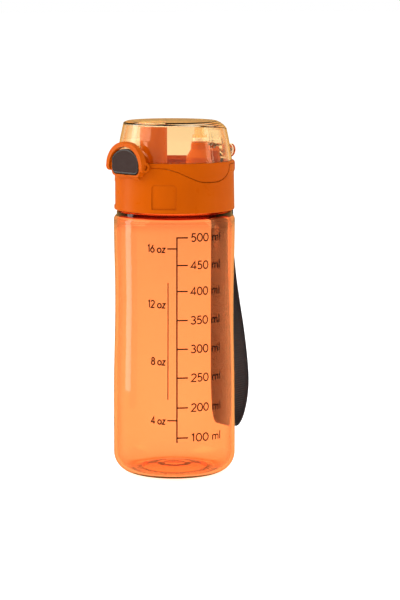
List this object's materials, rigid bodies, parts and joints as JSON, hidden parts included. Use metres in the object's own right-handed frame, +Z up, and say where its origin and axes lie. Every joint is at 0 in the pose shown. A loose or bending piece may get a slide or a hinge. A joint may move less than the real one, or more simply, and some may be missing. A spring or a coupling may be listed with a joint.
{
  "type": "sports water bottle",
  "caption": "Clear half-litre sports bottle with a screw cap, a push-button flip lid, a drinking spout, a lock bail and a webbing wrist strap.",
  "frame": {"origin": "centre of the base, on the plane that the bottle stands on", "axes": "+Z up along the bottle, -Y towards the release button, +Y towards the hinge and strap, +X to the right seen from the button"},
  "size_m": [0.0724, 0.093, 0.21],
  "materials": {
    "clear_body": "transparent orange, polished",
    "clear_lid": "transparent pale orange, polished",
    "orange_plastic": "opaque orange, semi-gloss moulded",
    "button_grey": "satin, fine moulded grain",
    "white_silicone": "translucent white, satin",
    "steel": "drawn stainless wire and pins",
    "webbing": "ribbed woven polyester tape"
  },
  "bodies": {
    "bottle": {"bottle_body": "clear_body"},
    "seal_ring": {"neck_gasket": "white_silicone"},
    "cap": {"cap_shell": "orange_plastic", "inner_cap": "orange_plastic", "drinking_spout": "orange_plastic", "spout_gasket": "white_silicone", "vent_tower": "orange_plastic", "vent_valve": "white_silicone", "hinge_pin": "steel", "lid_spring": "steel", "strap_bar": "steel", "button_pin": "steel", "button_spring": "steel"},
    "button": {"release_button": "button_grey"},
    "bail": {"lock_bail": "orange_plastic"},
    "lid": {"lid_frame": "orange_plastic", "lid_dome": "clear_lid", "spout_plug": "white_silicone", "vent_plug": "white_silicone"},
    "strap": {"wrist_strap": "webbing"}
  },
  "joints": [
    {"name": "cap_lift", "type": "slide", "parent": "bottle", "child": "seal_ring", "axis": [0, 0, 1], "range_m": [0, 0.0061]},
    {"name": "cap_turn", "type": "hinge", "parent": "seal_ring", "child": "cap", "pos_m": [0, 0, 0.178], "axis": [0, 0, 1], "range_deg": [0, 540]},
    {"name": "lid_hinge", "type": "hinge", "parent": "cap", "child": "lid", "pos_m": [0, 0.035, 0.1913], "axis": [-1, 0, 0], "range_deg": [0, 135], "deforming": ["lid_spring"]},
    {"name": "button_rock", "type": "hinge", "parent": "cap", "child": "button", "pos_m": [0, -0.0366, 0.1866], "axis": [1, 0, 0], "range_deg": [0, 6.5], "stiffness_Nm_per_rad": 0.1, "springref_deg": -5.73, "deforming": ["button_spring"]},
    {"name": "bail_swing", "type": "hinge", "parent": "cap", "child": "bail", "pos_m": [0, -0.036, 0.1844], "axis": [1, 0, 0], "range_deg": [0, 150]},
    {"name": "strap_swing", "type": "hinge", "parent": "cap", "child": "strap", "pos_m": [0, 0.0362, 0.1836], "axis": [1, 0, 0], "range_deg": [0, 75]}
  ],
  "couplings": [
    {"joint": "cap_lift", "follows": "cap_turn", "m_per_rad": 0.00063662}
  ]
}
